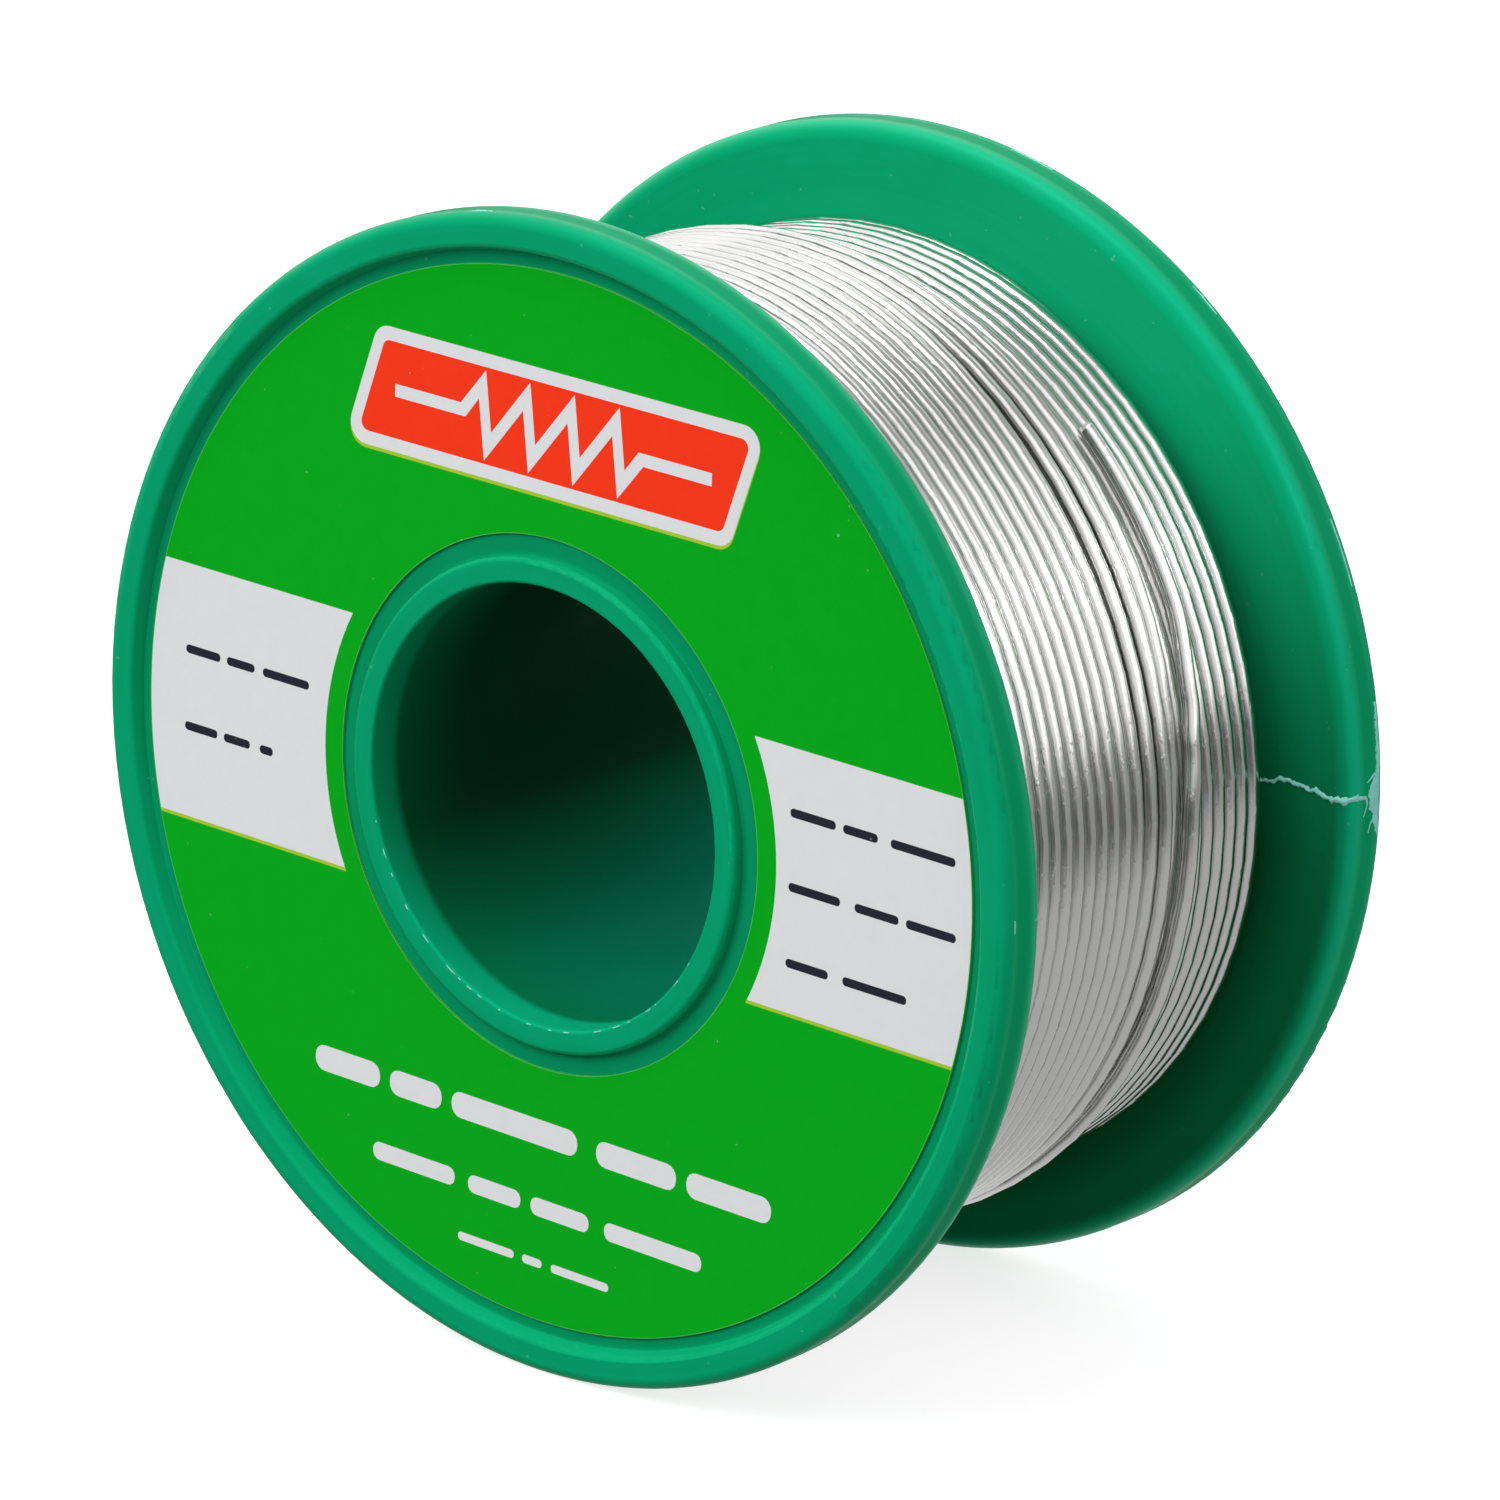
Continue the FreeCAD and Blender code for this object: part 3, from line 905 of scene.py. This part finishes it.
def add_wire_end():
    """The wire's last stretch, from a ball in the bend to its pinched and cut end."""
    route = tail_route(BEND, TAIL_END, 72)
    start, radii = route[0], [WIRE / 2] * len(route)
    way = (route[1] - route[0]).normalized()
    for i in range(1, BALL_RINGS + 1):
        angle = math.radians(90 * i / BALL_RINGS)
        route.insert(0, start - way * (WIRE / 2 * math.sin(angle)))
        radii.insert(0, max(0.49 * WIRE * math.cos(angle), 1e-7))
    points, faces = tube(route, radii, TAIL_SIDES)
    tip, ahead_way = route[-1], (route[-1] - route[-2]).normalized()
    out = (tip - ahead_way * tip.dot(ahead_way)).normalized()
    side = ahead_way.cross(out)
    chance = random.Random(12)
    pinch = [chance.uniform(-0.05, 0.05) for _ in range(TAIL_SIDES)]
    for ahead, share in CUT_RINGS:
        row = len(points)
        for k in range(TAIL_SIDES):
            angle = math.tau * k / TAIL_SIDES
            flat = 1 - 0.14 * abs(math.cos(angle)) * min(1, share / 0.4)
            slope = (0.10 * math.sin(angle) + pinch[k] * 0.6) * share / 0.45
            points.append(tip + ahead_way * ((ahead + slope) * MM)
                          + (out * math.cos(angle) * flat + side * math.sin(angle)) * WIRE * share)
        faces += [(row - TAIL_SIDES + k, row + k, row + (k + 1) % TAIL_SIDES,
                   row - TAIL_SIDES + (k + 1) % TAIL_SIDES) for k in range(TAIL_SIDES)]
    end = mesh_object("solder_wire_end", points, faces, "wire_end")
    end.data.materials.append(TIN)
    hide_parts("wire_free_end")


def add_core():
    """The rosin core in the free end, with a low tip in the cut face."""
    route = tail_route(BEND + 1, TAIL_END - 0.1, 60)
    points, faces = tube(route, [CORE_RADIUS] * len(route), CORE_SIDES)
    last = len(points) - CORE_SIDES
    points.append(route[-1] + (route[-1] - route[-2]).normalized() * 0.03 * MM)
    faces += [(last + k, len(points) - 1, last + (k + 1) % CORE_SIDES) for k in range(CORE_SIDES)]
    core = mesh_object("rosin_core", points, faces, "wire_end")
    core.data.materials.append(ROSIN)
    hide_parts("flux_core")


add_wire_end()
add_core()


# ---------------------------------------------------------------- the moulding

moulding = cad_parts["spool_body"]
moulding.data.materials.clear()
moulding.data.materials.append(GREEN)


# ---------------------------------------------------------------- floor and light

FLOOR_HALF = 3.0
LIGHT_DISTANCE = 0.9


def add_floor():
    """A plain floor under the rims. It casts neither its light nor its mirror image up."""
    mesh = bpy.data.meshes.new("floor")
    corners = [(-FLOOR_HALF, -FLOOR_HALF), (FLOOR_HALF, -FLOOR_HALF),
               (FLOOR_HALF, FLOOR_HALF), (-FLOOR_HALF, FLOOR_HALF)]
    mesh.from_pydata([(x, y, -RIM) for x, y in corners], [], [(0, 1, 2, 3)])
    floor = bpy.data.objects.new("floor", mesh)
    floor.data.materials.append(studio_floor())
    floor.visible_glossy = False
    floor.visible_diffuse = False
    bpy.context.scene.collection.objects.link(floor)


def add_light(name, direction, size, power, glossy=True, diffuse=True):
    """A soft square light that faces the spool from this direction."""
    data = bpy.data.lights.new(name, "AREA")
    data.shape, data.size, data.energy = "SQUARE", size, power
    light = bpy.data.objects.new(name, data)
    bpy.context.scene.collection.objects.link(light)
    way = Vector(direction).normalized()
    light.location = way * LIGHT_DISTANCE
    light.rotation_mode = "QUATERNION"
    light.rotation_quaternion = way.to_track_quat("Z", "Y")
    light.visible_glossy, light.visible_diffuse = glossy, diffuse


def add_world():
    """A dim room with bright walls at the right and behind, a pale ceiling and table."""
    world = bpy.data.worlds.new("studio")
    world.use_nodes = True
    bpy.context.scene.world = world
    n = Nodes(world.node_tree)
    x, y, z = n.parts(n.node("ShaderNodeTexCoord").outputs["Generated"])
    azimuth = n.maths("ARCTAN2", x, y)

    def panel(az_low, az_high, az_edge, low, high, edge, level):
        """A wall between two azimuths in degrees from +Y and two heights, with soft edges."""
        across = n.within(azimuth, math.radians(az_low), math.radians(az_high), math.radians(az_edge))
        return n.maths("MULTIPLY", n.maths("MULTIPLY", across, n.within(z, low, high, edge)), level)

    right_wall = panel(21, 96, 4, 0.06, 0.66, 0.04, 1.15)
    slant = n.maths("SUBTRACT", x, n.maths("MULTIPLY", z, 0.67))
    back_wall = n.maths("MULTIPLY", panel(-105, 60, 5, 0.04, 0.70, 0.05, 1.00),
                        n.span(slant, -0.34, -0.47, way="SMOOTHSTEP"))
    corner = n.maths("MULTIPLY", panel(-40, 21, 5, 0.06, 0.70, 0.05, 0.36),
                     n.span(slant, -0.47, -0.34, way="SMOOTHSTEP"))
    ceiling = n.maths("ADD", n.span(x, -0.38, -0.04, 0.86, 0.26, "SMOOTHSTEP"),
                      n.span(x, 0.36, 0.64, 0.0, 0.50, "SMOOTHSTEP"))
    ceiling = n.maths("MULTIPLY", ceiling, n.span(z, 0.62, 0.74, way="SMOOTHSTEP"))
    far_wall = panel(15, 100, 8, -0.33, 0.06, 0.04, 0.20)
    pale = n.span(x, 0.15, -0.4, 0.37, 0.66, "SMOOTHSTEP")
    table = n.maths("MULTIPLY", n.maths("MULTIPLY", n.span(z, -0.29, -0.37, way="SMOOTHSTEP"), pale),
                    n.span(n.maths("SUBTRACT", y, n.maths("MULTIPLY", x, -0.9)), -0.9, -0.3, 0.1, 1.0))
    near = n.maths("MULTIPLY", n.within(azimuth, math.radians(90), math.radians(178), math.radians(8)),
                   n.span(z, -0.05, 0.02, 0.0, 0.75, "SMOOTHSTEP"))
    near = n.maths("MULTIPLY", near, n.span(x, 0.05, 0.30, 0.45, 1.0))
    total = 0.08
    for part in (right_wall, back_wall, corner, ceiling, far_wall, table, near):
        total = n.maths("ADD", total, part)
    n.feed(world.node_tree.nodes["Background"].inputs["Color"], total)
    world.node_tree.nodes["Background"].inputs["Strength"].default_value = 1.0


add_floor()
add_world()
add_light("key_light", (-0.45, -1.0, 0.80), 0.6, 6.3, glossy=False)
add_light("top_light", (-0.2, -0.2, 1.0), 0.5, 2)
add_light("edge_light", (0.825, -0.163, 0.541), 0.20, 1.1, diffuse=False)
bpy.context.scene.view_settings.view_transform = "Standard"
